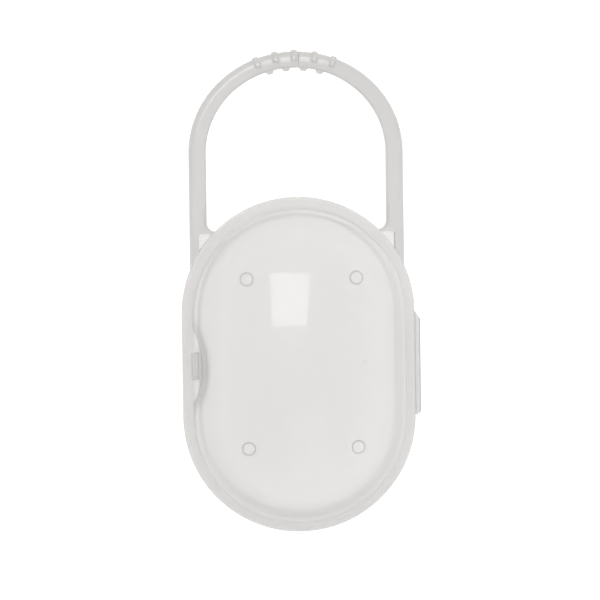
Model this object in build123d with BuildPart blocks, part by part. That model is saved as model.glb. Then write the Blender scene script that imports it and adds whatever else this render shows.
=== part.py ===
from build123d import *
import os
from math import sqrt

# Pacifier case, moulded in one shot: a base bowl and a lid bowl joined by a living hinge,
# with a snap hook in a finger scoop and a split carrying handle that springs open.
# +X is the hinge side, -X the latch side, +Y the handle side and +Z out through the lid.
# The origin is the middle of the flat spot on the back, where the case lies on a table.

# Outline of the rim, in millimetres
rim_radius = 29.05
straight_length = 25.6
rim_width = 2.6
rim_thickness = 1.6
rim_edge_round = 0.5

# Bowls
base_depth = 22.5
lid_depth = 22.4
parting_gap = 0.1
wall = 1.4
draft_angle = 1.5
crown_radius_across = 70
crown_radius_along = 170
shoulder_round = 9
rest_flat_depth = 0.8

# Aligning lip inside the parting line
lip_height = 1.2
lip_thickness = 0.7
lip_clearance = 0.25
lip_root_depth = 1.4

# Finger scoop on the latch side
scoop_depth = 2.2
scoop_radius = 21.7
scoop_end_round = 4
scoop_start = 0.1

# Snap hook
hook_width = 6.8
hook_thickness = 1.2
hook_clearance = 0.25
hook_catch = 0.45
hook_lift = 0.15
hook_nose_height = 1.5
hook_nose_land = 0.4
hook_top_width = 0.25
hook_taper = 0.55
hook_seat_clearance = 0.05
bridge_width = 2.65

# Living hinge
hinge_length = 26
hinge_slant = 2.1
hinge_end_round = 1.2
leaf_reach = 0.6
leaf_thickness = 0.9
hinge_axis_reach = 1.05
web_thickness = 0.3
web_bend_radius = 0.1

# Handle
bow_inset = 2.3
bow_height = 25.1
bow_rise = 11.05
bow_arm_width = 4.3
bow_top_width = 4.0
bow_thickness = 4.4
bow_edge_round = 1.1
seam_angle = 2.3
seam_gap = 0.3
flex_rise = 2.8
flex_length = 8
gusset_width = 2.8
gusset_bite = 0.8
gusset_round = 2.3
pocket_side_rail = 2.25
pocket_top_rail = 0.5
pocket_foot_rail = 1
pocket_floor = 1.2
pocket_corner_round = 0.6

# Grip ribs on the handle
outer_rib_width = 1.1
outer_rib_height = 0.45
outer_rib_wrap = 2.4
inner_rib_width = 1.7
inner_rib_height = 0.7
rib_pitch = 11.25
outer_rib_count = 5
inner_rib_count = 4
rib_front_height = 0.3
rib_back_margin = 0.8

# Ejector pin marks inside the lid
pin_mark_diameter = 3.3
pin_mark_depth = 0.1
pin_mark_spacing_x = 26.9
pin_mark_spacing_y = 41.6
pin_mark_shift = 1.75

# Gate mark on the lid's crown, where the plastic flowed in
gate_mark_x = 15.1
gate_mark_y = 2
gate_mark_diameter = 0.9
gate_mark_height = 0.15

# Sizes that follow from the ones above
wall_radius = rim_radius - rim_width
cavity_radius = wall_radius - wall
parting = base_depth
lid_bottom = parting + parting_gap
lid_top = lid_bottom + lid_depth
half_length = straight_length / 2 + rim_radius
spare = 5
lip_outer_radius = cavity_radius - lip_clearance
lip_inner_radius = lip_outer_radius - lip_thickness
lip_outer_grow = wall + lip_clearance
lip_inner_grow = lip_outer_grow + lip_thickness
hook_x = bridge_width + hook_clearance + hook_thickness / 2 - rim_radius
leaf_tip = rim_radius + leaf_reach
hinge_axis_x = rim_radius + hinge_axis_reach
hinge_axis_z = parting + parting_gap / 2
hinge_edge = hinge_axis_x + web_bend_radius + web_thickness
bow_back = parting - bow_thickness
bow_half_width = rim_radius - bow_inset
bow_inner_half_width = bow_half_width - bow_arm_width
bow_inner_height = bow_height - bow_top_width
bow_centre = half_length + bow_rise
gusset_x = bow_inner_half_width - gusset_width
gusset_y = straight_length / 2 + sqrt(rim_radius**2 - gusset_x**2) - gusset_bite
foot_y = straight_length / 2 + sqrt(rim_radius**2 - bow_half_width**2)
flex_start = gusset_y + gusset_round + flex_rise
flex_end = flex_start + flex_length


def stadium(radius):
    """The round-ended outline that the rim and the walls share."""
    with BuildSketch() as outline:
        SlotCenterToCenter(straight_length, 2 * radius, rotation=90)
    return outline.sketch


def bowl(radius, depth, inset):
    """A solid bowl standing on its mouth, with drafted sides and a crown curved both ways.

    The crown and the shoulder lie inset inside those of the case's outer face."""
    across = crown_radius_across - inset
    along = crown_radius_along - inset
    reach = straight_length / 2 + radius + spare
    crown_end = depth - along + sqrt(along**2 - reach**2)
    with BuildPart() as shape:
        with BuildSketch():
            add(stadium(radius))
        extrude(amount=depth + spare, taper=draft_angle)
        with BuildSketch(Plane.YZ):
            with BuildLine():
                crown = ThreePointArc((-reach, crown_end), (0, depth), (reach, crown_end))
                Polyline(crown @ 1, (reach, depth - across), (-reach, depth - across), crown @ 0)
            make_face()
        revolve(axis=Axis((0, 0, depth - across), (0, 1, 0)), mode=Mode.INTERSECT)
        fillet(shape.faces().sort_by(Axis.Z)[-1].edges(), radius=shoulder_round - inset)
    return shape.part


def scoop_outline(grow):
    """The finger scoop from above, its curved face moved into the case by grow."""
    hollow_centre = scoop_depth - wall_radius - scoop_radius
    end_centre_x = scoop_end_round - wall_radius - scoop_start
    reach = scoop_radius + scoop_end_round
    end_centre_y = sqrt(reach**2 - (end_centre_x - hollow_centre) ** 2)
    share = (scoop_radius + grow) / reach
    meet_x = hollow_centre + (end_centre_x - hollow_centre) * share
    meet_y = end_centre_y * share
    end_x = end_centre_x - (scoop_end_round - grow)
    outside = -rim_radius - spare
    with BuildSketch() as outline:
        with BuildLine():
            hollow = ThreePointArc(
                (meet_x, -meet_y), (hollow_centre + scoop_radius + grow, 0), (meet_x, meet_y)
            )
            TangentArc(hollow @ 1, (end_x, end_centre_y), tangent=hollow % 1)
            TangentArc(hollow @ 0, (end_x, -end_centre_y), tangent=(hollow % 0) * -1)
            Polyline(
                (end_x, end_centre_y),
                (outside, end_centre_y),
                (outside, -end_centre_y),
                (end_x, -end_centre_y),
            )
        make_face()
    return outline.sketch


def scooped_stadium(radius, grow):
    """A wall outline that turns inward round the finger scoop."""
    with BuildSketch() as outline:
        add(stadium(radius))
        add(scoop_outline(grow), mode=Mode.SUBTRACT)
    return outline.sketch


def scoop_prism(grow):
    """The scoop's space over the lid's height. Its face stands upright."""
    with BuildPart() as prism:
        with BuildSketch(Plane.XY.offset(lid_bottom)):
            add(scoop_outline(grow))
        extrude(amount=lid_depth)
    return prism.part


# The scoop's space in the lid leaves the lid's own rim standing as a bridge over the hook
with BuildPart() as scoop_space:
    add(scoop_prism(0))
    with BuildSketch(Plane.XY.offset(lid_bottom)):
        with Locations((bridge_width - rim_radius, 0)):
            Rectangle(rim_radius, 2 * half_length, align=(Align.MAX, Align.CENTER))
    extrude(amount=rim_thickness, mode=Mode.SUBTRACT)

# The inside of each bowl, one wall in from the outside. The lid's stays clear of the scoop
with BuildPart() as lid_cavity:
    with Locations((0, 0, lid_bottom)):
        add(bowl(cavity_radius, lid_depth - wall, wall))
    add(scoop_prism(wall), mode=Mode.SUBTRACT)

# Ejector pins leave four shallow round dents in the inside of the lid's crown
with BuildPart() as pin_marks:
    with Locations((0, 0, lid_bottom)):
        add(bowl(cavity_radius, lid_depth - wall + pin_mark_depth, wall - pin_mark_depth))
    with BuildSketch(Plane.XY.offset(lid_bottom)):
        with Locations((0, pin_mark_shift)):
            with GridLocations(pin_mark_spacing_x, pin_mark_spacing_y, 2, 2):
                Circle(pin_mark_diameter / 2)
    extrude(amount=lid_depth, mode=Mode.INTERSECT)

with BuildPart() as base_cavity:
    with Locations(Location((0, 0, parting), (180, 0, 0))):
        add(bowl(cavity_radius, base_depth - wall, wall))


def rim_plate():
    """One rim as a full plate on the XY plane, with its outer edge rounded on top."""
    with BuildPart() as plate:
        with BuildSketch():
            add(stadium(rim_radius))
        extrude(amount=rim_thickness)
        fillet(plate.faces().sort_by(Axis.Z)[-1].edges(), radius=rim_edge_round)
    return plate.part


def hinge_outline():
    """The hinge strip from above, slanted at its handle end and rounded at the other."""
    root = wall_radius + wall
    with BuildSketch() as outline:
        with BuildLine():
            Polyline(
                (root, -hinge_length / 2),
                (hinge_edge, -hinge_length / 2),
                (hinge_edge, hinge_length / 2 - hinge_slant),
                (rim_radius, hinge_length / 2),
                (root, hinge_length / 2),
                close=True,
            )
        make_face()
        corner = outline.vertices().group_by(Axis.X)[-1].sort_by(Axis.Y)[0]
        fillet(corner, radius=hinge_end_round)
    return outline.sketch


# Lid bowl
with BuildPart() as lid_shell:
    with Locations((0, 0, lid_bottom)):
        add(bowl(wall_radius, lid_depth, 0))
        add(rim_plate())
    with BuildSketch(Plane.XY.offset(lid_bottom)):
        add(hinge_outline())
        with Locations((leaf_tip, 0)):
            Rectangle(half_length, hinge_length, align=(Align.MAX, Align.CENTER), mode=Mode.INTERSECT)
    extrude(amount=leaf_thickness)
    add(scoop_space.part, mode=Mode.SUBTRACT)
    add(lid_cavity.part, mode=Mode.SUBTRACT)
    add(pin_marks.part, mode=Mode.SUBTRACT)
    # The gate leaves a nub that stands a little proud of the crown
    gate_drop = gate_mark_x**2 / (2 * crown_radius_across) + gate_mark_y**2 / (2 * crown_radius_along)
    with BuildSketch(Plane.XY.offset(lid_top - gate_drop - wall / 2)):
        with Locations((gate_mark_x, gate_mark_y)):
            Circle(gate_mark_diameter / 2)
    extrude(amount=wall / 2 + gate_mark_height)


def bow_outline(half_width, height, foot):
    """An arch on two upright legs, from its crown down to the line at foot."""
    with BuildSketch() as outline:
        with BuildLine():
            arch = EllipticalCenterArc((0, bow_centre), half_width, height, 0, arc_size=180)
            Polyline(arch @ 1, (-half_width, foot), (half_width, foot), arch @ 0)
        make_face()
    return outline.sketch


# The handle as one bow, before it is parted at the seam and the bending zones
with BuildPart() as bow:
    with BuildSketch(Plane.XY.offset(bow_back)):
        add(bow_outline(bow_half_width, bow_height, straight_length / 2))
        add(bow_outline(bow_inner_half_width, bow_inner_height, 0), mode=Mode.SUBTRACT)
    extrude(amount=bow_thickness)
    fillet(bow.faces().group_by(Axis.Z)[0].edges(), radius=bow_edge_round)
    fillet(bow.faces().group_by(Axis.Z)[-1].edges(), radius=bow_edge_round)

# Grip ribs: raised bars across the crown of the bow, five outside and four between them inside
with BuildPart() as outer_ribs:
    with BuildSketch(Plane.XY.offset(bow_back + rib_back_margin)):
        with Locations((0, bow_centre)):
            Ellipse(bow_half_width + outer_rib_height, bow_height + outer_rib_height)
            Ellipse(bow_half_width - outer_rib_wrap, bow_height - outer_rib_wrap, mode=Mode.SUBTRACT)
    extrude(amount=bow_thickness - rib_back_margin + rib_front_height)
    rib_brow = outer_ribs.faces().sort_by(Axis.Z)[-1].edges().sort_by(SortBy.LENGTH)[-1]
    fillet(rib_brow, radius=bow_edge_round + rib_front_height)
    with BuildSketch(Plane.XY.offset(bow_back)):
        with Locations((0, bow_centre)):
            with PolarLocations(
                bow_height,
                outer_rib_count,
                start_angle=90 - rib_pitch * (outer_rib_count - 1) / 2,
                angular_range=rib_pitch * outer_rib_count,
            ):
                Rectangle(2 * bow_arm_width, outer_rib_width)
    extrude(amount=2 * bow_thickness, mode=Mode.INTERSECT)

with BuildPart() as inner_ribs:
    with BuildSketch(Plane.XY.offset(bow_back + rib_back_margin)):
        with Locations((0, bow_centre)):
            Ellipse(bow_inner_half_width + bow_edge_round, bow_inner_height + bow_edge_round)
            Ellipse(
                bow_inner_half_width - inner_rib_height,
                bow_inner_height - inner_rib_height,
                mode=Mode.SUBTRACT,
            )
    extrude(amount=bow_thickness - 2 * rib_back_margin)
    with BuildSketch(Plane.XY.offset(bow_back)):
        with Locations((0, bow_centre)):
            with PolarLocations(
                bow_inner_height,
                inner_rib_count,
                start_angle=90 - rib_pitch * (inner_rib_count - 1) / 2,
                angular_range=rib_pitch * inner_rib_count,
            ):
                Rectangle(2 * bow_arm_width, inner_rib_width)
    extrude(amount=2 * bow_thickness, mode=Mode.INTERSECT)

# The planes that part the bow. The seam stands just beside the middle rib
below_flex = Plane((0, flex_start, 0), z_dir=(0, -1, 0))
above_flex = Plane((0, flex_end, 0), z_dir=(0, 1, 0))
seam_plane = Plane((0, bow_centre, 0), z_dir=(1, 0, 0)).rotated((0, 0, -seam_angle))
seam_right = seam_plane.offset(seam_gap / 2)
seam_left = seam_plane.offset(-seam_gap / 2)

with BuildPart() as handle_left_arm:
    add(bow.part)
    add(outer_ribs.part)
    add(inner_ribs.part)
    split(bisect_by=above_flex, keep=Keep.TOP)
    split(bisect_by=seam_left, keep=Keep.BOTTOM)

with BuildPart() as handle_right_arm:
    add(bow.part)
    add(outer_ribs.part)
    add(inner_ribs.part)
    split(bisect_by=above_flex, keep=Keep.TOP)
    split(bisect_by=seam_right, keep=Keep.TOP)

# The short stretches of the legs that bend when the seam is pulled open
with BuildPart() as handle_left_flex:
    add(bow.part)
    split(bisect_by=above_flex, keep=Keep.BOTTOM)
    split(bisect_by=below_flex, keep=Keep.BOTTOM)
    split(bisect_by=Plane.YZ, keep=Keep.BOTTOM)

with BuildPart() as handle_right_flex:
    add(bow.part)
    split(bisect_by=above_flex, keep=Keep.BOTTOM)
    split(bisect_by=below_flex, keep=Keep.BOTTOM)
    split(bisect_by=Plane.YZ, keep=Keep.TOP)

# The handle's feet: each leg widens to a gusset that runs under the rim to the base's wall
with BuildPart() as handle_feet:
    with BuildSketch(Plane.XY.offset(bow_back)) as foot_outline:
        with BuildLine():
            Polyline(
                (bow_half_width, flex_end),
                (bow_half_width, foot_y),
                (gusset_x, foot_y),
                (gusset_x, gusset_y),
                (bow_inner_half_width, gusset_y),
                (bow_inner_half_width, flex_end),
                close=True,
            )
        make_face()
        throat = foot_outline.vertices().group_by(Axis.X)[1].sort_by(Axis.Y)[0]
        fillet(throat, radius=gusset_round)
    extrude(amount=bow_thickness)
    fillet(handle_feet.faces().group_by(Axis.Z)[0].edges(), radius=bow_edge_round)
    fillet(handle_feet.faces().group_by(Axis.Z)[-1].edges(), radius=bow_edge_round)
    split(bisect_by=below_flex, keep=Keep.TOP)
    # A three-cornered pocket thins each gusset between the leg and the rim
    with BuildSketch(Plane.XY.offset(bow_back + pocket_floor)) as pocket:
        with BuildLine():
            pocket_side = bow_half_width - pocket_side_rail
            pocket_top = gusset_y - pocket_top_rail
            Polyline(
                (gusset_x + pocket_foot_rail, pocket_top),
                (pocket_side, pocket_top),
                (pocket_side, foot_y),
                (gusset_x + pocket_foot_rail, foot_y),
                close=True,
            )
        make_face()
        pocket_corner = pocket.vertices().group_by(Axis.X)[-1].sort_by(Axis.Y)[-1]
        fillet(pocket_corner, radius=pocket_corner_round)
        add(stadium(rim_radius), mode=Mode.SUBTRACT)
    extrude(amount=bow_thickness, mode=Mode.SUBTRACT)
    mirror(about=Plane.YZ)

# Base bowl, with its rim, handle feet, hinge leaf and the lip that the lid closes over
with BuildPart() as base_shell:
    with Locations(Location((0, 0, parting), (180, 0, 0))):
        add(bowl(wall_radius, base_depth + rest_flat_depth, 0))
        add(rim_plate())
    add(handle_feet.part)
    with BuildSketch(Plane.XY.offset(parting)):
        add(hinge_outline())
        with Locations((leaf_tip, 0)):
            Rectangle(half_length, hinge_length, align=(Align.MAX, Align.CENTER), mode=Mode.INTERSECT)
    extrude(amount=-leaf_thickness)
    add(base_cavity.part, mode=Mode.SUBTRACT)
    split(bisect_by=Plane.XY, keep=Keep.TOP)
    # A ledge along the wall roots the lip and closes the case below the scoop
    with BuildSketch(Plane.XY.offset(parting - lip_root_depth)):
        add(stadium(cavity_radius + wall / 2))
        add(scooped_stadium(lip_inner_radius, lip_inner_grow), mode=Mode.SUBTRACT)
    extrude(amount=lip_root_depth)
    with BuildSketch(Plane.XY.offset(parting - lip_root_depth)):
        add(scooped_stadium(lip_outer_radius, lip_outer_grow))
        add(scooped_stadium(lip_inner_radius, lip_inner_grow), mode=Mode.SUBTRACT)
    extrude(amount=lip_root_depth + lip_height)
    # The round seat that the hook's foot rocks in
    with BuildSketch(Plane.XZ):
        with Locations((hook_x, parting)):
            Circle(hook_thickness / 2 + hook_seat_clearance)
    extrude(amount=hook_width / 2 + hook_seat_clearance, both=True, mode=Mode.SUBTRACT)

# Snap hook: it stands in the scoop, reaches up past the lid's bridge and catches on top of it
with BuildPart() as latch_hook:
    hook_under = lid_bottom + rim_thickness + hook_lift
    hook_top = hook_under + hook_nose_height
    hook_inside = hook_x + hook_thickness / 2
    hook_outside = hook_x - hook_thickness / 2
    hook_tip = hook_outside - hook_clearance - hook_catch
    with BuildSketch(Plane.XZ):
        with BuildLine():
            Polyline(
                (hook_outside, parting),
                (hook_outside, hook_under),
                (hook_tip, hook_under),
                (hook_tip, hook_under + hook_nose_land),
                (hook_inside - hook_taper - hook_top_width, hook_top),
                (hook_inside - hook_taper, hook_top),
                (hook_inside, parting),
            )
            ThreePointArc(
                (hook_inside, parting),
                (hook_x, parting - hook_thickness / 2),
                (hook_outside, parting),
            )
        make_face()
    extrude(amount=hook_width / 2, both=True)

# Living hinge: a thin web folded outward in a U between the two leaves
with BuildPart() as hinge_web:
    web_half_height = web_bend_radius + web_thickness
    with BuildSketch(Plane.XZ):
        with Locations((hinge_axis_x, hinge_axis_z)):
            Circle(web_half_height)
            Rectangle(
                hinge_axis_x - leaf_tip, 2 * web_half_height, align=(Align.MAX, Align.CENTER)
            )
            Circle(web_bend_radius, mode=Mode.SUBTRACT)
            Rectangle(
                hinge_axis_x - leaf_tip,
                2 * web_bend_radius,
                align=(Align.MAX, Align.CENTER),
                mode=Mode.SUBTRACT,
            )
    extrude(amount=hinge_length, both=True)
    with BuildSketch(Plane.XY.offset(parting - rim_thickness)):
        add(hinge_outline())
    extrude(amount=2 * rim_thickness, mode=Mode.INTERSECT)

os.makedirs("parts", exist_ok=True)
pieces = {
    "base_shell": base_shell.part,
    "lid_shell": lid_shell.part,
    "hinge_web": hinge_web.part,
    "latch_hook": latch_hook.part,
    "handle_left_flex": handle_left_flex.part,
    "handle_right_flex": handle_right_flex.part,
    "handle_left_arm": handle_left_arm.part,
    "handle_right_arm": handle_right_arm.part,
}
for name, piece in pieces.items():
    piece.label = name
    export_step(piece, f"parts/{name}.step")
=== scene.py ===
from math import atan, atan2, cos, degrees, hypot, pi, radians, sin

import bmesh
import bpy
from mathutils import Matrix, Vector


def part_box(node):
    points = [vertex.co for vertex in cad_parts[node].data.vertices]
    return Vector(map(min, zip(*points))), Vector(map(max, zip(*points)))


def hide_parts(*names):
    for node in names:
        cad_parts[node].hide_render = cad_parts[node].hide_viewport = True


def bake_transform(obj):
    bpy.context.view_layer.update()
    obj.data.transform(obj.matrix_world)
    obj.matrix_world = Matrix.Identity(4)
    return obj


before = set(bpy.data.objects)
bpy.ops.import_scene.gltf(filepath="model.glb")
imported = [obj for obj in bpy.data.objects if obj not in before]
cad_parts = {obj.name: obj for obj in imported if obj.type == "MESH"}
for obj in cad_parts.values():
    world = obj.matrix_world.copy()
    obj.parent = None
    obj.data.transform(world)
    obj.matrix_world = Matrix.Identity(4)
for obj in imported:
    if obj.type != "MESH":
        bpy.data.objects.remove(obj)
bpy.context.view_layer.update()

# Pacifier case in milky polypropylene, lying on its back: +X is the hinge side, +Y the handle
# side and +Z out through the lid. Lengths are in metres.

# Places read from the CAD model
FLEX_LOW, FLEX_HIGH = (Vector(corner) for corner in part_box("handle_left_flex"))
WEB_LOW, WEB_HIGH = (Vector(corner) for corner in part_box("hinge_web"))
BACK, FRONT = FLEX_LOW.z, FLEX_HIGH.z
LEG_FOOT, LEG_TOP = FLEX_LOW.y, FLEX_HIGH.y
LEG_OUTSIDE, LEG_INSIDE = -FLEX_LOW.x, -FLEX_HIGH.x
MIDDLE = (LEG_OUTSIDE + LEG_INSIDE) / 2
DEPTH_MIDDLE = (BACK + FRONT) / 2

# Handle: it goes up its straight legs and round its bow in short steps, finest at the ribs.
# Turns are in degrees, stretches of the bow in pitches of the ribs, rib widths in fine steps.
LEG_STEPS, FOOT_STEPS, BOW_STEPS = 18, 2, 30
RIBBED_STRETCH, PAST_CROWN = 2.7, 0.25
BOW_CENTRE = 0.0529
BOW_SQUEEZE = 0.939
EDGE_ROUND = 0.0011
TIGHTER, ROUNDER = 0.5, 1.35
RIB_PITCH = 10.6
RIB_STEPS = 12
OUTER_RIBS, INNER_RIBS = 3, 2
OUTER_RIB_WIDTH, INNER_RIB_WIDTH = 4, 6
OUTER_RIB_REACH = 0.0030
OUTER_RIB_HEIGHT, OUTER_RIB_FLARE = 0.00045, 0.00026
INNER_RIB_HEIGHT, INNER_RIB_TIP, INNER_FLAT = 0.00085, 0.5, 0.08
SOFT_EDGE = 0.00016
SEAM_ANGLE = 2.3
SEAM_GAP = 0.00003

# How close to a cut a corner counts as on it, and how close to a place a corner counts as there
CUT_SLACK, PICK_SLACK = 1e-7, 1e-6

# Edges up to the first angle shade as round, those over the second are softened
SMOOTH_ANGLE, SHARP_ANGLE = 35, 32

# Rim and walls
STRAIGHT_HALF = 0.0128
RIM_RADIUS, RIM_SLACK = 0.02906, 0.0001
WALL_RADIUS = 0.0265

# Finger scoop in the lid's wall
SCOOP_CENTRE, SCOOP_RADIUS = -0.04595, 0.0217
WALL = 0.0014
SCOOP_FOOT, SCOOP_BAND = 0.0224, 0.0243

# Where the handle's feet begin, and the pockets in them
FEET_START = 0.02
POCKET_IN, POCKET_OUT = 0.0200, 0.0245
POCKET_TOP = 0.0329
POCKET_FLOOR = 0.01935

# Inside of the lid's crown, and the ejector pins' places in it
CROWN_INSIDE, CROWN_SLACK = 0.0436, 0.0004
CROWN_ACROSS = 1 / (2 * 0.0686)
CROWN_ALONG = 1 / (2 * 0.1686)
PIN_X, PIN_Y = 0.01345, 0.0208
PIN_SHIFT = 0.00175
PIN_RADIUS, PIN_LINE = 0.00155, 0.00016
GATE, GATE_RADIUS, GATE_FOOT = Vector((0.0151, 0.0020)), 0.00045, 0.043

# Living hinge
AXIS = Vector((0.0301, 0.0, 0.02255))
WEB_THICKNESS = 0.0003
WEB_BEND, WEB_STEPS = 0.0001, 12
HINGE_ROOT = 0.02905
HINGE_HALF, HINGE_SLANT = 0.013, 0.0021
HINGE_END_ROUND = 0.0012
GROOVE, GROOVE_WIDE, GROOVE_LONG = 0.0292, 0.00013, 0.0131
FOLD_OUTSIDE = 0.03022

# Plastic: its colours, how dense it is where thin and thick, its painted light, and how dark
# each painted shade shows
SHELL = (0.925, 0.911, 0.9)
BAR = (0.665, 0.65, 0.636)
HOOK = (0.78, 0.765, 0.75)
EDGE = (0.6, 0.585, 0.57)
# The dark grey that painted shade is drawn with
SHADE_DARK = (0.22, 0.215, 0.21)
CLOUDS, CLOUD_SHARE = (0.95, 0.95, 0.94), 0.6
SHELL_DENSITY, HOOK_DENSITY, BAR_DENSITY = 0.36, 0.24, 0.75
RIM_SHARE = 0.13
# Painted light: where and how much paler the handle's legs are painted towards the foot
PAINTED_LIGHT_START, PAINTED_LIGHT_SLOPE, PAINTED_LIGHT_SHARE = 1.8, 23, 0.25
# How thin the pocket floor is, and how much clearer it is made as painted light against the
# shade in the pocket
POCKET_THIN, POCKET_PAINTED_LIGHT = 0.9, 0.15
# Painted shade: how much denser and how dark the pin circles, gate dot, groove, fold and scoop
# band are drawn
PAINTED_SHADE_DENSITY, ALONG_DENSITY = 0.6, 0.4
PIN_SHADE, GATE_SHADE, GROOVE_SHADE, FOLD_SHADE, SCOOP_SHADE = 0.88, 0.25, 0.4, 0.6, 0.3
ROUGHNESS, CLOUD_ROUGHNESS, GRAIN_ROUGHNESS, GRAIN_RELIEF = 0.22, 0.05, 0.02, 0.05

# Faces where one piece goes on in the next aren't seen, and those at the seam only a little
LEG_FACE, FACE_SLACK = 0.015, 3e-6
SEAM_CLEAR = 0.7

# Floor and light
SKY, DARKEST_SKY = 0.925, 0.2
SKY_RING, SKY_RING_WIDTH, SKY_RING_EXTRA = 0.8, 0.06, 0.4
SKY_SHADE, SKY_FLAG = 0.35, 0.8
SIDEWAYS, DOWNWARD, FLAG_FADE = 0.6, 0.8, 3
FLOOR_GAP, FLOOR_GLOW = 0.0001, 0.5
SOFTBOX_WIDE, SOFTBOX_LONG = 0.275, 0.265
SOFTBOX_PLACE = Vector((-0.042, 0.146, 1.0))
SOFTBOX_TIP, SOFTBOX_ENERGY = radians(-48), 1.2

# Camera
LEAN_X, LEAN_Y = radians(-3.0), radians(3.7)
ROLL = radians(-0.75)
CAMERA_DISTANCE = 0.95
FRAME_WIDTH = 0.1497
AIM = Vector((0.0005, 0.0161, 0.0225))


def start_piece(name, add, **place):
    """Adds a primitive on its own, at its size and place, with its object at the origin."""
    bpy.ops.object.select_all(action="DESELECT")
    add(**place)
    piece = bpy.context.object
    piece.name = name
    piece.data.name = name
    bpy.ops.object.transform_apply(location=True, rotation=True, scale=True)
    return piece


def edit(piece):
    """Opens a piece for editing with nothing selected in it."""
    bpy.ops.object.select_all(action="DESELECT")
    piece.select_set(True)
    bpy.context.view_layer.objects.active = piece
    bpy.ops.object.mode_set(mode="EDIT")
    bpy.ops.mesh.select_all(action="DESELECT")


def pick(piece, kind, wanted):
    """Selects only the corners, edges or faces whose middle passes the test."""
    bpy.ops.mesh.select_all(action="DESELECT")
    bpy.ops.mesh.select_mode(type=kind)
    mesh = bmesh.from_edit_mesh(piece.data)
    if kind == "VERT":
        for corner in mesh.verts:
            corner.select = wanted(corner.co)
    elif kind == "EDGE":
        for edge in mesh.edges:
            edge.select = wanted((edge.verts[0].co + edge.verts[1].co) / 2)
    else:
        for face in mesh.faces:
            face.select = wanted(face.calc_center_median())
    mesh.select_flush_mode()
    bmesh.update_edit_mesh(piece.data)


def close_piece(piece):
    """Turns the faces outward, leaves edit mode, and shades flat as flat and round as round."""
    bpy.ops.mesh.select_all(action="SELECT")
    bpy.ops.mesh.remove_doubles(threshold=CUT_SLACK)
    bpy.ops.mesh.normals_make_consistent(inside=False)
    if bmesh.from_edit_mesh(piece.data).calc_volume(signed=True) < 0:
        bpy.ops.mesh.flip_normals()
    bpy.ops.object.mode_set(mode="OBJECT")
    bpy.ops.object.shade_smooth_by_angle(angle=radians(SMOOTH_ANGLE))
    bpy.ops.object.modifier_add(type="WEIGHTED_NORMAL")
    piece.modifiers[-1].keep_sharp = True
    bpy.ops.object.modifier_apply(modifier=piece.modifiers[-1].name)


def turn_about_bow(place):
    """The angle of a place about the bow's centre, counted from the hinge side."""
    return degrees(atan2(place.y - BOW_CENTRE, place.x))


def reach_from_bow(place):
    return hypot(place.y - BOW_CENTRE, place.x)


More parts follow.
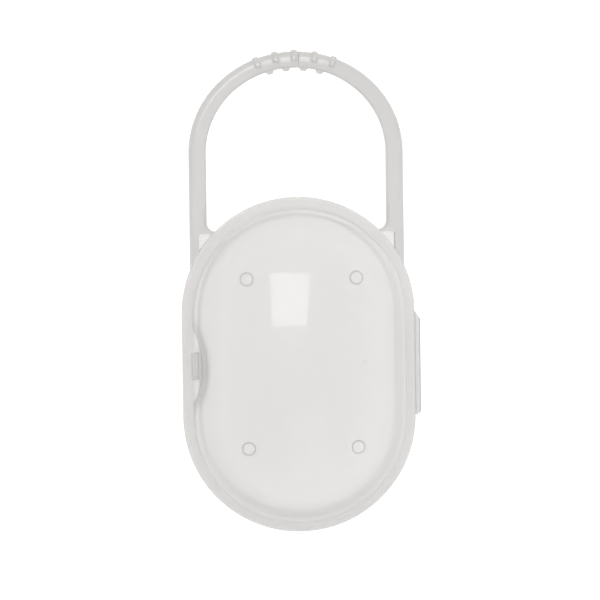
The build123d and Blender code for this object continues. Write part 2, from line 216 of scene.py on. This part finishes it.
def bow_half():
    """The latch side half of the handle, from its bending stretch to just past the crown."""
    leg = start_piece(
        "handle_half",
        bpy.ops.mesh.primitive_plane_add,
        size=1,
        location=(-MIDDLE, LEG_FOOT, DEPTH_MIDDLE),
        rotation=(pi / 2, 0, 0),
    )
    edit(leg)
    bpy.ops.mesh.select_all(action="SELECT")
    bpy.ops.transform.resize(
        value=(LEG_OUTSIDE - LEG_INSIDE, 1, FRONT - BACK),
        center_override=(-MIDDLE, LEG_FOOT, DEPTH_MIDDLE),
    )
    bpy.ops.mesh.bevel(offset=EDGE_ROUND, segments=8, affect="VERTICES")
    # Two corners along the front edge: the outer ribs will end at the inner one
    pick(leg, "EDGE", lambda p: p.z > FRONT - PICK_SLACK)
    bpy.ops.mesh.subdivide(number_cuts=2)
    # Up the leg in short steps, so that it can bend
    pick(leg, "FACE", lambda p: True)
    rise = (BOW_CENTRE - LEG_FOOT) / LEG_STEPS
    for step in range(1, LEG_STEPS + 1):
        bpy.ops.mesh.extrude_region_move(TRANSFORM_OT_translate={"value": (0, rise, 0)})
        if step != FOOT_STEPS:
            continue
        # Past the foot the front edge is tighter on the inside and rounder on the outside
        for edge_x, size in ((-LEG_INSIDE, TIGHTER), (-LEG_OUTSIDE, ROUNDER)):
            pick(
                leg,
                "VERT",
                lambda p: p.y > LEG_FOOT + (FOOT_STEPS - 0.5) * rise
                and p.z > FRONT - EDGE_ROUND - PICK_SLACK
                and abs(p.x - edge_x) < EDGE_ROUND + PICK_SLACK,
            )
            bpy.ops.transform.resize(
                value=(size, 1, size), center_override=(edge_x, LEG_FOOT, FRONT)
            )
        pick(leg, "FACE", lambda p: p.y > LEG_FOOT + (FOOT_STEPS - 0.25) * rise)
    # Round the bow: plain at first, then in steps that fit the ribs
    fine = RIB_PITCH / RIB_STEPS
    plain = 90 - RIBBED_STRETCH * RIB_PITCH
    bpy.ops.mesh.spin(
        steps=BOW_STEPS,
        angle=radians(plain),
        center=(0, BOW_CENTRE, DEPTH_MIDDLE),
        axis=(0, 0, 1),
    )
    fine_steps = round((RIBBED_STRETCH + PAST_CROWN) * RIB_STEPS)
    bpy.ops.mesh.spin(
        steps=fine_steps,
        angle=radians(fine_steps * fine),
        center=(0, BOW_CENTRE, DEPTH_MIDDLE),
        axis=(0, 0, 1),
    )
    bpy.ops.mesh.select_all(action="SELECT")
    bpy.ops.mesh.normals_make_consistent(inside=False)

    def on_rib(place, count, shift, width):
        """Whether a place is within one of count ribs, width steps wide."""
        for number in range(count):
            middle = 90 + (number + shift) * RIB_PITCH
            if abs(turn_about_bow(place) - middle) < width / 2 * fine:
                return place.y > BOW_CENTRE
        return False

    # Three outer ribs wrap from the outside round the front edge, on flared feet
    pick(
        leg,
        "FACE",
        lambda p: on_rib(p, OUTER_RIBS, 0, OUTER_RIB_WIDTH)
        and reach_from_bow(p) > LEG_OUTSIDE - OUTER_RIB_REACH
        and p.z > BACK + EDGE_ROUND,
    )
    bpy.ops.mesh.inset(thickness=OUTER_RIB_FLARE)
    bpy.ops.transform.shrink_fatten(value=OUTER_RIB_HEIGHT)
    # Two broader inner ribs stand between them, each narrowed to its tip
    for number in range(INNER_RIBS):
        pick(
            leg,
            "FACE",
            lambda p: on_rib(p, 1, number + 0.5, INNER_RIB_WIDTH)
            and reach_from_bow(p) < LEG_INSIDE + INNER_FLAT * EDGE_ROUND,
        )
        bpy.ops.mesh.extrude_region_shrink_fatten(
            TRANSFORM_OT_shrink_fatten={"value": INNER_RIB_HEIGHT}
        )
        turn = radians(90 + (number + 0.5) * RIB_PITCH)
        tip = LEG_INSIDE - INNER_RIB_HEIGHT
        bpy.ops.transform.resize(
            value=(INNER_RIB_TIP, INNER_RIB_TIP, 1),
            center_override=(tip * cos(turn), BOW_CENTRE + tip * sin(turn), 0),
        )
    # The bow is a little flatter than a circle
    pick(leg, "VERT", lambda p: p.y > BOW_CENTRE + PICK_SLACK)
    bpy.ops.transform.resize(value=(1, BOW_SQUEEZE, 1), center_override=(0, BOW_CENTRE, 0))
    bpy.ops.object.mode_set(mode="OBJECT")
    return leg


def part_at_seam(leg, side):
    """Cuts a half of the bow at the seam and softens its moulded edges."""
    across = Vector((cos(radians(SEAM_ANGLE)), -sin(radians(SEAM_ANGLE)), 0))
    edit(leg)
    bpy.ops.mesh.select_all(action="SELECT")
    bpy.ops.mesh.normals_make_consistent(inside=False)
    bpy.ops.mesh.bisect(
        plane_co=Vector((0, BOW_CENTRE, 0)) + across * side * SEAM_GAP / 2,
        plane_no=across * -side,
        use_fill=True,
        clear_outer=True,
        threshold=CUT_SLACK,
    )
    bpy.ops.mesh.select_all(action="DESELECT")
    bpy.ops.mesh.select_mode(type="EDGE")
    bpy.ops.mesh.edges_select_sharp(sharpness=radians(SHARP_ANGLE))
    mesh = bmesh.from_edit_mesh(leg.data)
    for edge in mesh.edges:
        if max(corner.co.y for corner in edge.verts) < LEG_FOOT + PICK_SLACK:
            edge.select = False
    mesh.select_flush_mode()
    bmesh.update_edit_mesh(leg.data)
    bpy.ops.mesh.bevel(offset=SOFT_EDGE, segments=2, affect="EDGES")
    close_piece(leg)


left_leg = bow_half()
bpy.ops.object.select_all(action="DESELECT")
left_leg.select_set(True)
bpy.context.view_layer.objects.active = left_leg
bpy.ops.object.duplicate(linked=False)
right_leg = bpy.context.object
edit(right_leg)
bpy.ops.mesh.select_all(action="SELECT")
bpy.ops.transform.resize(value=(-1, 1, 1), center_override=(0, 0, 0))
bpy.ops.object.mode_set(mode="OBJECT")
left_leg.name = left_leg.data.name = "handle_left_leg"
right_leg.name = right_leg.data.name = "handle_right_leg"
part_at_seam(left_leg, -1)
part_at_seam(right_leg, 1)

for leg, side, sign in ((left_leg, "left", -1), (right_leg, "right", 1)):
    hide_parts(f"handle_{side}_flex", f"handle_{side}_arm")
    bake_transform(leg)


def fold_hinge():
    """The web of the living hinge: out from the base's leaf, round in a U, back to the lid's."""
    length = WEB_HIGH.y - WEB_LOW.y
    low = AXIS.z - WEB_BEND - WEB_THICKNESS / 2
    middle = (WEB_HIGH.y + WEB_LOW.y) / 2
    web = start_piece(
        "hinge_fold",
        bpy.ops.mesh.primitive_plane_add,
        size=1,
        location=(WEB_LOW.x, middle, low),
        rotation=(0, pi / 2, 0),
    )
    edit(web)
    bpy.ops.mesh.select_all(action="SELECT")
    bpy.ops.transform.resize(
        value=(1, length, WEB_THICKNESS), center_override=(WEB_LOW.x, middle, low)
    )
    straight = AXIS.x - WEB_LOW.x
    bpy.ops.mesh.extrude_region_move(TRANSFORM_OT_translate={"value": (straight, 0, 0)})
    bpy.ops.mesh.spin(steps=WEB_STEPS, angle=pi, center=AXIS, axis=(0, 1, 0))
    bpy.ops.mesh.extrude_region_move(TRANSFORM_OT_translate={"value": (-straight, 0, 0)})
    # The handle end is slanted, the other end is rounded off in three cuts
    bpy.ops.mesh.select_all(action="SELECT")
    slant = Vector((HINGE_SLANT, WEB_HIGH.x - HINGE_ROOT, 0)).normalized()
    bpy.ops.mesh.bisect(
        plane_co=(WEB_HIGH.x, HINGE_HALF - HINGE_SLANT, 0),
        plane_no=slant,
        use_fill=True,
        clear_outer=True,
        threshold=CUT_SLACK,
    )
    rounding = Vector((WEB_HIGH.x - HINGE_END_ROUND, WEB_LOW.y + HINGE_END_ROUND, 0))
    for turn in (67.5, 45, 22.5):
        bpy.ops.mesh.select_all(action="SELECT")
        outward = Vector((cos(radians(turn)), -sin(radians(turn)), 0))
        bpy.ops.mesh.bisect(
            plane_co=rounding + outward * HINGE_END_ROUND,
            plane_no=outward,
            use_fill=True,
            clear_outer=True,
            threshold=CUT_SLACK,
        )
    close_piece(web)
    return web


hinge_fold = fold_hinge()
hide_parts("hinge_web")
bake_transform(hinge_fold)


class Value:
    """A number that varies over a surface, so that shader maths reads as arithmetic."""

    def __init__(self, tree, socket):
        self.tree = tree
        self.socket = socket

    def combine(self, operation, *terms):
        node = self.tree.nodes.new("ShaderNodeMath")
        node.operation = operation
        for place, term in zip(node.inputs, terms):
            if isinstance(term, Value):
                self.tree.links.new(term.socket, place)
            else:
                place.default_value = term
        return Value(self.tree, node.outputs[0])

    def __add__(self, other):
        return self.combine("ADD", self, other)

    def __radd__(self, other):
        return self.combine("ADD", other, self)

    def __sub__(self, other):
        return self.combine("SUBTRACT", self, other)

    def __rsub__(self, other):
        return self.combine("SUBTRACT", other, self)

    def __mul__(self, other):
        return self.combine("MULTIPLY", self, other)

    def __rmul__(self, other):
        return self.combine("MULTIPLY", other, self)

    def __rtruediv__(self, other):
        return self.combine("DIVIDE", other, self)

    def __abs__(self):
        return self.combine("ABSOLUTE", self)

    def near(self, place, within):
        """One within a distance of a place, nought elsewhere."""
        return self.combine("COMPARE", self, place, within)

    def above(self, level):
        return self.combine("GREATER_THAN", self, level)

    def below(self, level):
        return self.combine("LESS_THAN", self, level)

    def root(self):
        return self.combine("SQRT", self)

    def power(self, exponent):
        return self.combine("POWER", self, exponent)

    def larger(self, other):
        return self.combine("MAXIMUM", self, other)


class Finish:
    """A material that is put together node by node."""

    def __init__(self, name, tree=None):
        if tree is None:
            self.material = bpy.data.materials.new(name)
            self.material.use_nodes = True
            tree = self.material.node_tree
        self.tree = tree
        self.tree.nodes.clear()

    def node(self, kind, settings=None, values=None):
        node = self.tree.nodes.new(kind)
        for name, setting in (settings or {}).items():
            setattr(node, name, setting)
        for name, value in (values or {}).items():
            if isinstance(value, Value):
                value = value.socket
            if isinstance(value, bpy.types.NodeSocket):
                self.tree.links.new(value, node.inputs[name])
            else:
                node.inputs[name].default_value = value
        return node

    def value(self, node, name=0):
        return Value(self.tree, node.outputs[name])

    def mix(self, factor, first, second, blend="MIX"):
        """A colour between two colours, each a socket or three numbers."""
        node = self.node(
            "ShaderNodeMix",
            settings={"data_type": "RGBA", "blend_type": blend},
            values={"Factor": factor},
        )
        for place, colour in ((node.inputs[6], first), (node.inputs[7], second)):
            if isinstance(colour, bpy.types.NodeSocket):
                self.tree.links.new(colour, place)
            else:
                place.default_value = (*colour, 1)
        return node.outputs[2]


def polypropylene(name, colour, density, edge=1.0):
    """Milky polypropylene, clearer where it is thin and denser in the handle's thick bars.

    Density is how much a thin wall hides, and edge how much more that is along the wall.
    """
    finish = Finish(name)
    place = finish.node("ShaderNodeTexCoord").outputs["Object"]
    parts = finish.node("ShaderNodeSeparateXYZ", values={"Vector": place})
    x, y, z = (finish.value(parts, axis) for axis in "XYZ")
    # The melt's faint clouds, drawn out along the case, and a fine grain
    drawn = finish.node(
        "ShaderNodeMapping", values={"Vector": place, "Scale": (1.0, 0.45, 1.0)}
    ).outputs["Vector"]
    clouds = finish.value(
        finish.node(
            "ShaderNodeTexNoise",
            values={"Vector": drawn, "Scale": 70, "Detail": 4, "Roughness": 0.55},
        ),
        "Fac",
    )
    grain = finish.value(
        finish.node(
            "ShaderNodeTexNoise",
            values={"Vector": place, "Scale": 900, "Detail": 2, "Roughness": 0.6},
        ),
        "Fac",
    )
    # The feet of the handle are thick, but not the thin floor of the pocket in each of them
    past_end = (abs(y) - STRAIGHT_HALF).larger(0)
    ring = (x * x + past_end * past_end).root()
    outside = ring.above(RIM_RADIUS)
    in_pocket = (
        abs(x).above(POCKET_IN)
        * abs(x).below(POCKET_OUT)
        * y.below(POCKET_TOP)
        * z.below(POCKET_FLOOR)
        * outside
    )
    foot = outside * y.above(FEET_START) * (1 - POCKET_THIN * in_pocket)
    rim = ring.above(WALL_RADIUS) * ring.below(RIM_RADIUS + RIM_SLACK)
    thick = foot.larger(rim * RIM_SHARE)
    # Ejector pins have left thin circles in the inside of the lid's crown, the gate a dot on it;
    # both are drawn with painted shade, dark lines on the circles and a dark dot
    from_pin_x = abs(x) - PIN_X
    from_pin_y = abs(y - PIN_SHIFT) - PIN_Y
    from_pin = (from_pin_x * from_pin_x + from_pin_y * from_pin_y).root()
    crown = z + x * x * CROWN_ACROSS + y * y * CROWN_ALONG
    circle = from_pin.near(PIN_RADIUS, PIN_LINE) * crown.near(CROWN_INSIDE, CROWN_SLACK)
    from_gate_x, from_gate_y = x - GATE.x, y - GATE.y
    from_gate = (from_gate_x * from_gate_x + from_gate_y * from_gate_y).root()
    dot = from_gate.below(GATE_RADIUS) * z.above(GATE_FOOT)
    # The groove along the hinge's leaf and the outside of its fold are drawn as dark lines of
    # painted shade
    groove = x.near(GROOVE, GROOVE_WIDE) * abs(y).below(GROOVE_LONG)
    fold = x.above(FOLD_OUTSIDE)
    # The upright wall of the finger scoop gets a band of painted shade where it stands on the
    # parting line
    from_scoop_x = x - SCOOP_CENTRE
    from_scoop = (from_scoop_x * from_scoop_x + y * y).root()
    scoop = (
        from_scoop.near(SCOOP_RADIUS + WALL / 2, WALL / 2)
        * ring.below(WALL_RADIUS)
        * z.above(SCOOP_FOOT)
        * z.below(SCOOP_BAND)
        * x.below(0)
    )
    # Painted shade: the pin circles, gate dot, groove, fold and scoop band, each at its own
    # strength
    painted_shade = (
        (circle * PIN_SHADE)
        .larger(dot * GATE_SHADE)
        .larger(groove * GROOVE_SHADE)
        .larger(fold * FOLD_SHADE)
        .larger(scoop * SCOOP_SHADE)
    )
    tint = finish.mix(thick, colour, BAR)
    # Painted light: the handle's legs are painted paler towards the foot, against the shade that
    # falls on them near the body
    painted_light_foot = (PAINTED_LIGHT_START - PAINTED_LIGHT_SLOPE * y).larger(0) * foot * PAINTED_LIGHT_SHARE
    tint = finish.mix(painted_light_foot, tint, SHELL)
    tint = finish.mix(clouds * CLOUD_SHARE, tint, CLOUDS, blend="MULTIPLY")
    # Painted shade darkens the tint where the circles, dot, groove, fold and scoop band are
    tint = finish.mix(painted_shade, tint, SHADE_DARK)
    # Seen along a wall there is more plastic to look through: it turns denser and darker
    facing = finish.value(
        finish.node("ShaderNodeLayerWeight", values={"Blend": 0.5}), "Facing"
    )
    along = facing.power(5) * edge
    tint = finish.mix(along, tint, EDGE)
    # Painted light: the pocket floor is made clearer still, against the shade in the pocket
    alpha = (
        density
        + (BAR_DENSITY - density) * thick
        + PAINTED_SHADE_DENSITY * painted_shade
        + ALONG_DENSITY * along
        - POCKET_PAINTED_LIGHT * in_pocket
    )
    relief = clouds + GRAIN_RELIEF * grain
    surface_roughness = ROUGHNESS + CLOUD_ROUGHNESS * clouds + GRAIN_ROUGHNESS * grain
    bump = finish.node(
        "ShaderNodeBump", values={"Strength": 0.12, "Distance": 0.0002, "Height": relief}
    )
    plastic = finish.node(
        "ShaderNodeBsdfPrincipled",
        values={
            "Base Color": tint,
            "Roughness": surface_roughness,
            "IOR": 1.49,
            "Alpha": alpha,
            "Specular IOR Level": 0.3,
            "Coat Weight": 1 - facing.power(2),
            "Coat Roughness": 0.02,
            "Coat IOR": 1.45,
            "Normal": bump.outputs["Normal"],
        },
    )
    # Where one piece goes on in the next, the plastic is one, and no face shows inside it
    leg_face = y.near(LEG_FOOT, FACE_SLACK) * abs(x).above(LEG_FACE)
    web_middle = WEB_BEND + WEB_THICKNESS / 2
    in_web = abs(z - AXIS.z).near(web_middle, WEB_THICKNESS / 2)
    web_face = x.near(WEB_LOW.x, FACE_SLACK) * in_web
    # The two halves of the handle press together at the seam, and light mostly crosses it
    from_seam = x * cos(radians(SEAM_ANGLE)) - (y - BOW_CENTRE) * sin(radians(SEAM_ANGLE))
    seam_face = abs(from_seam).below(SEAM_GAP) * y.above(BOW_CENTRE)
    hidden = leg_face.larger(web_face).larger(seam_face * SEAM_CLEAR)
    clear_face = finish.node("ShaderNodeBsdfTransparent")
    surface = finish.node("ShaderNodeMixShader", values={0: hidden})
    finish.tree.links.new(plastic.outputs[0], surface.inputs[1])
    finish.tree.links.new(clear_face.outputs[0], surface.inputs[2])
    finish.node("ShaderNodeOutputMaterial", values={"Surface": surface.outputs[0]})
    return finish.material


shell_finish = polypropylene("milky_shell", SHELL, SHELL_DENSITY)
# Painted light: the hook is made clearer than the shell and not denser along its walls, to
# lighten the shade in the gap beside the scoop wall
hook_finish = polypropylene("milky_hook", HOOK, HOOK_DENSITY, edge=0.0)
bar_finish = polypropylene("milky_bar", BAR, BAR_DENSITY)
finishes = {
    "base_shell": shell_finish,
    "lid_shell": shell_finish,
    "latch_hook": hook_finish,
    "handle_left_leg": bar_finish,
    "handle_right_leg": bar_finish,
    "hinge_fold": shell_finish,
}
for name, material in finishes.items():
    mesh = bpy.data.objects[name].data
    mesh.materials.clear()
    mesh.materials.append(material)


# Floor: white to the eye, and it keeps the case's soft shadow
floor = start_piece(
    "floor", bpy.ops.mesh.primitive_plane_add, size=3, location=(0, 0, -FLOOR_GAP)
)
paper = Finish("white_paper")
rays = paper.node("ShaderNodeLightPath")
seen = (
    paper.value(rays, "Is Camera Ray")
    .larger(paper.value(rays, "Is Glossy Ray"))
    .larger(paper.value(rays, "Is Transmission Ray"))
)
lit = paper.node("ShaderNodeBsdfDiffuse", values={"Color": (0.8, 0.8, 0.8, 1)})
glow = paper.node(
    "ShaderNodeEmission", values={"Color": (1, 1, 1, 1), "Strength": seen * FLOOR_GLOW}
)
both = paper.node("ShaderNodeAddShader")
paper.tree.links.new(lit.outputs[0], both.inputs[0])
paper.tree.links.new(glow.outputs[0], both.inputs[1])
paper.node("ShaderNodeOutputMaterial", values={"Surface": both.outputs[0]})
floor.data.materials.append(paper.material)

# Soft light from all round, brightest in a ring halfway up, dimmer at the lower left, with a
# black flag low at the lower right
world = bpy.data.worlds.new("soft_white")
world.use_nodes = True
bpy.context.scene.world = world
sky = Finish("sky", world.node_tree)
view = sky.node("ShaderNodeTexCoord").outputs["Generated"]
towards = sky.node("ShaderNodeSeparateXYZ", values={"Vector": view})
right, up_image, height = (sky.value(towards, axis) for axis in "XYZ")
high = height.larger(0)
low = (1 - FLAG_FADE * high).larger(0)
flag = (SIDEWAYS * right - DOWNWARD * up_image).larger(0) * low
shade = (-SIDEWAYS * right - DOWNWARD * up_image).larger(0)
off_ring = (high - SKY_RING) * (1 / SKY_RING_WIDTH)
ring = 1 / (1 + off_ring * off_ring)
level = SKY + SKY_RING_EXTRA * ring - SKY_SHADE * shade - SKY_FLAG * flag
backdrop = sky.node(
    "ShaderNodeBackground", values={"Color": (1, 1, 1, 1), "Strength": level.larger(DARKEST_SKY)}
)
sky.node("ShaderNodeOutputWorld", values={"Surface": backdrop.outputs[0]})


def facing_turn(away, roll=0):
    """The turn that looks back along away, with the handle's end up."""
    away = away.normalized()
    side = Vector((0, 1, 0)).cross(away).normalized()
    upright = Matrix((side, away.cross(side), away)).transposed()
    return (upright @ Matrix.Rotation(roll, 3, "Z")).to_euler()


# One softbox high above the case, the handle's end of it tipped down
softbox = bpy.data.lights.new("softbox", "AREA")
softbox.shape = "RECTANGLE"
softbox.size = SOFTBOX_WIDE
softbox.size_y = SOFTBOX_LONG
softbox.color = (1.0, 0.975, 1.0)
softbox.energy = SOFTBOX_ENERGY
softbox_holder = bpy.data.objects.new("softbox", softbox)
bpy.context.collection.objects.link(softbox_holder)
softbox_holder.location = SOFTBOX_PLACE
tipped = Matrix.Rotation(SOFTBOX_TIP, 3, "X") @ SOFTBOX_PLACE
softbox_holder.rotation_euler = facing_turn(tipped)

# Camera: nearly straight above, leaning a little to the latch and handle sides
away = Vector((sin(LEAN_X), sin(LEAN_Y), cos(LEAN_X) * cos(LEAN_Y))).normalized()
lens = bpy.data.cameras.new("camera")
lens.lens_unit = "FOV"
lens.angle = 2 * atan(FRAME_WIDTH / 2 / CAMERA_DISTANCE)
camera = bpy.data.objects.new("camera", lens)
bpy.context.collection.objects.link(camera)
camera.location = AIM + away * CAMERA_DISTANCE
camera.rotation_euler = facing_turn(away, ROLL)
bpy.context.scene.camera = camera
bpy.context.scene.view_settings.view_transform = "Standard"
